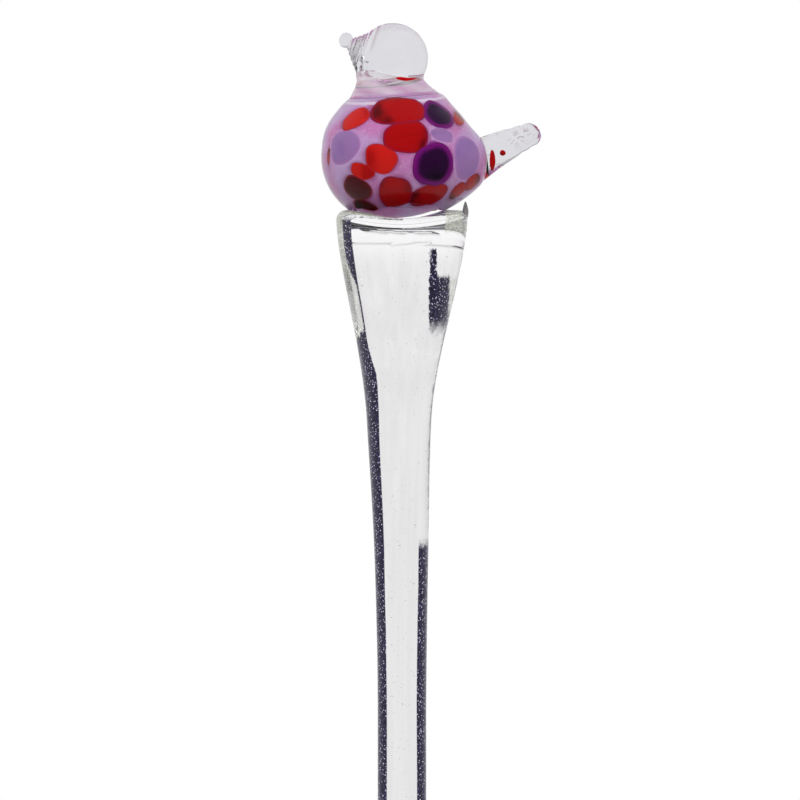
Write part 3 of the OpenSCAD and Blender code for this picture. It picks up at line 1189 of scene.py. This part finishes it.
class BIRD_OT_seeds(Operator):
    """Fine seeds scattered through the stake's glass"""

    bl_idname = "bird.seeds"
    bl_label = "Seeds"

    def execute(self, context):
        s = sizes()
        dice = np.random.default_rng(7)
        deselect()
        bpy.ops.mesh.primitive_ico_sphere_add(subdivisions=1, radius=1)
        piece = bpy.context.object
        piece.name = "stem_seeds"
        shape = own_points(piece) * MM
        faces = np.array([list(f.vertices) for f in piece.data.polygons])
        count = s.seed_count
        z = s.shoulder_z - 8 + (-s.shaft_length - s.shoulder_z) * dice.uniform(0, 1, count) ** 1.15
        r = stem_radius_at(z) * np.sqrt(dice.uniform(0, 0.9, count))
        a = dice.uniform(0, 2 * math.pi, count)
        size = 0.07 + 0.13 * dice.uniform(0, 1, count) ** 3
        middle = np.stack([r * np.cos(a) + stem_lean_at(z) * ease(z / 40), r * np.sin(a), z], axis=1)
        stretch = np.array([1, 1, 1.5])
        points = middle[:, None, :] + shape[None] * size[:, None, None] * stretch
        index = faces[None] + (np.arange(count) * len(shape))[:, None, None]
        piece.data.clear_geometry()
        piece.data.from_pydata((points.reshape(-1, 3) * MM).tolist(), [], index.reshape(-1, 3).tolist())
        piece.data.update()
        bpy.ops.object.shade_smooth()
        piece.data.materials.append(seed_glass())
        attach(piece, BODY)
        return {"FINISHED"}


# ---- Stage ----


class BIRD_OT_stage(Operator):
    """Pale floor, soft studio light and the camera"""

    bl_idname = "bird.stage"
    bl_label = "Stage"

    def execute(self, context):
        deselect()
        below = (0, 0, CAD_BOX[0].z - 0.0005)
        bpy.ops.mesh.primitive_circle_add(vertices=96, radius=FLOOR_RADIUS, fill_type="NGON", location=below)
        floor = bpy.context.object
        floor.name = "floor"
        material, recipe = new_material("pale_floor")
        x, y, _ = recipe.axes(recipe.place())
        # The floor fades out before its edge, by the square of the distance from its middle
        fade = recipe.step(x * x + y * y, 0.02, 0.22, 1.0, 0.0)
        recipe.surface(recipe.solid((0.75, 0.75, 0.75, 1), 0.9, {"Alpha": fade}))
        floor.data.materials.append(material)
        self.light("key", (-0.9, -1.4, 1.2), 0.9, 27)
        self.light("fill", (1.2, -0.9, 0.7), 0.9, 12)
        self.light("back", (0.6, 1.5, 1.0), 0.9, 8)
        self.sky(context)
        self.look(context)
        return {"FINISHED"}

    def light(self, name, place, size, power):
        low, high = CAD_BOX
        deselect()
        bpy.ops.object.light_add(type="AREA", location=place)
        lamp = bpy.context.object
        lamp.name = name
        lamp.data.shape = "DISK"
        lamp.data.size = size
        lamp.data.energy = power
        lamp.visible_glossy = lamp.visible_transmission = False
        way = (low + high) / 2 + Vector((0, 0, 0.09)) - Vector(place)
        lamp.rotation_euler = way.to_track_quat("-Z", "Y").to_euler()

    def sky(self, context):
        """White behind the object, and a light tent that is dimmer in front of it and overhead."""
        world = bpy.data.worlds.new("tent")
        context.scene.world = world
        recipe = Recipe(world)
        _, y, z = recipe.axes(recipe.node("ShaderNodeTexCoord", out="Generated"))
        tent = recipe.mix(recipe.step(y, -0.7, 0.3), (0.34, 0.34, 0.36, 1), (0.96, 0.96, 0.97, 1))
        tent = recipe.mix(recipe.step(z, 0.5, 0.95), tent, (0.55, 0.55, 0.58, 1))
        seen = recipe.node("ShaderNodeLightPath", out="Is Camera Ray")
        shown = recipe.mix(seen, tent, (1.0, 1.0, 1.0, 1))
        background = recipe.node("ShaderNodeBackground", inputs={"Color": shown, "Strength": 1.0})
        recipe.node("ShaderNodeOutputWorld", inputs={"Surface": background})

    def look(self, context):
        """Long lens, level with the stem, framing the bird and most of the stake."""
        scene = context.scene
        camera = bpy.data.cameras.new("camera")
        camera.sensor_width = 36
        camera.lens = camera.sensor_width * VIEW_DISTANCE / VIEW_HEIGHT
        camera.clip_end = 50
        eye = bpy.data.objects.new("camera", camera)
        scene.collection.objects.link(eye)
        middle = CAD_BOX[1].z - VIEW_HEIGHT / 2 + 0.008
        eye.location = (-0.0007, -VIEW_DISTANCE, middle)
        eye.rotation_euler = (math.pi / 2, 0, 0)
        scene.camera = eye
        scene.view_settings.view_transform = "Standard"
        scene.view_settings.look = "None"
        cycles = scene.cycles
        cycles.use_denoising = True
        cycles.max_bounces = 24
        cycles.transmission_bounces = 20
        cycles.transparent_max_bounces = 48
        cycles.glossy_bounces = 8
        cycles.sample_clamp_indirect = 6
        cycles.caustics_refractive = True
        cycles.caustics_reflective = False


PIECES = (
    BIRD_OT_casing,
    BIRD_OT_ground,
    BIRD_OT_core,
    BIRD_OT_chips,
    BIRD_OT_neck,
    BIRD_OT_head,
    BIRD_OT_tail,
    BIRD_OT_foot,
    BIRD_OT_stem,
    BIRD_OT_seeds,
    BIRD_OT_stage,
)


class BIRD_PT_panel(Panel):
    """Lists the bird's sizes, colours and building steps"""

    bl_idname = "BIRD_PT_panel"
    bl_label = "Glass Bird"
    bl_space_type = "VIEW_3D"
    bl_region_type = "UI"
    bl_category = "Glass Bird"

    def draw(self, context):
        for settings in (context.scene.bird_sizes, context.scene.bird_colours):
            for name in settings.__annotations__:
                self.layout.prop(settings, name)
        for piece in PIECES:
            self.layout.operator(piece.bl_idname)


CLASSES = (BirdSizes, BirdColours, *PIECES, BIRD_PT_panel)


def register():
    for item in CLASSES:
        bpy.utils.register_class(item)
    bpy.types.Scene.bird_sizes = PointerProperty(type=BirdSizes)
    bpy.types.Scene.bird_colours = PointerProperty(type=BirdColours)


def unregister():
    del bpy.types.Scene.bird_sizes
    del bpy.types.Scene.bird_colours
    for item in reversed(CLASSES):
        bpy.utils.unregister_class(item)


def main():
    register()
    for piece in PIECES:
        group, name = piece.bl_idname.split(".")
        getattr(getattr(bpy.ops, group), name)()
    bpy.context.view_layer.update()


if __name__ == "__main__":
    main()
